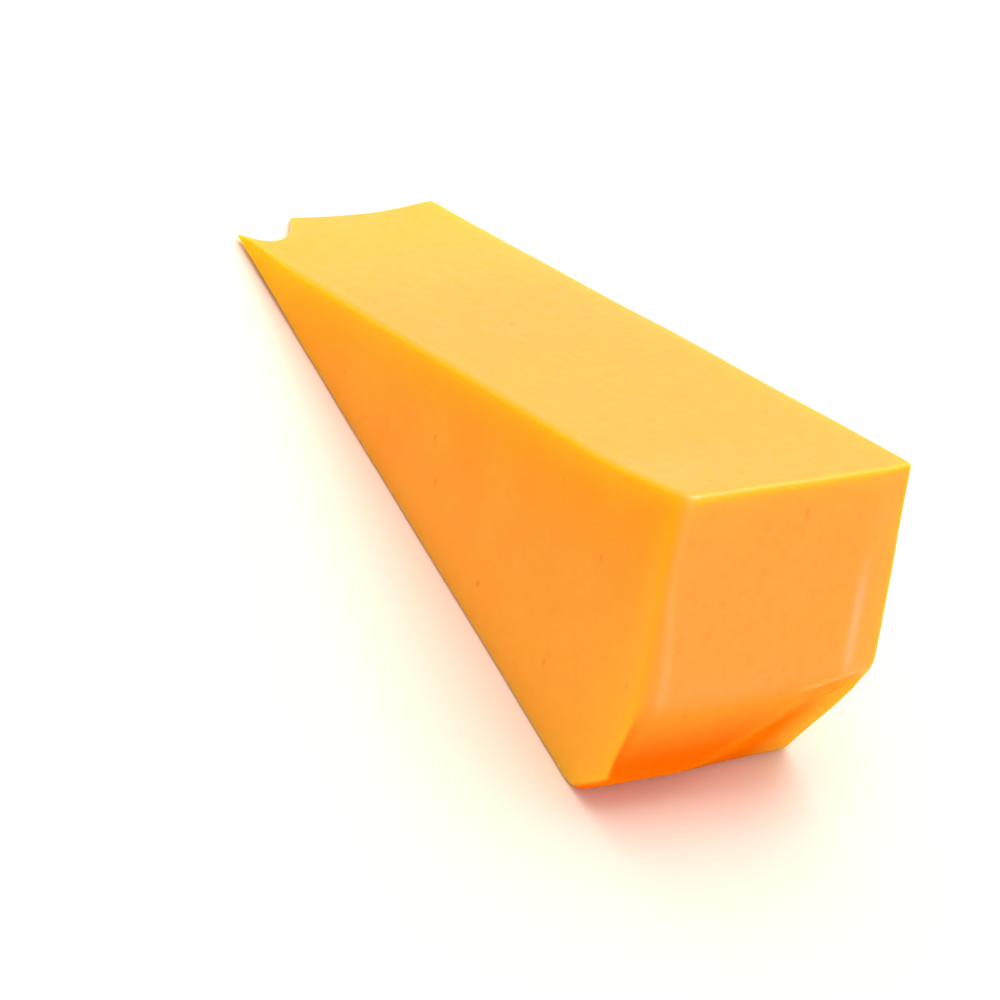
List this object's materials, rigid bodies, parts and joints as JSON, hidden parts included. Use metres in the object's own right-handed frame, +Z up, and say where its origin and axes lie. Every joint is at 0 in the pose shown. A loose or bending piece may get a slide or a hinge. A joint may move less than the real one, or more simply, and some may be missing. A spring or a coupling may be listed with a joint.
{
  "type": "cheddar cheese block",
  "caption": "Wedge-shaped block of orange cheddar cheese with flat cut faces, a rounded creased rind end and a small round eye open at the thin tip, lying on a cut face.",
  "frame": {"origin": "centre of the bounding box's base, on the surface the wedge lies on", "axes": "+X from the thin tip to the rind end, +Y from the near to the far wheel face, +Z up"},
  "size_m": [0.1524, 0.048, 0.0638],
  "materials": {
    "cheddar": "satin, waxy"
  },
  "bodies": {
    "root": {"cheddar_block": "cheddar"}
  },
  "joints": []
}
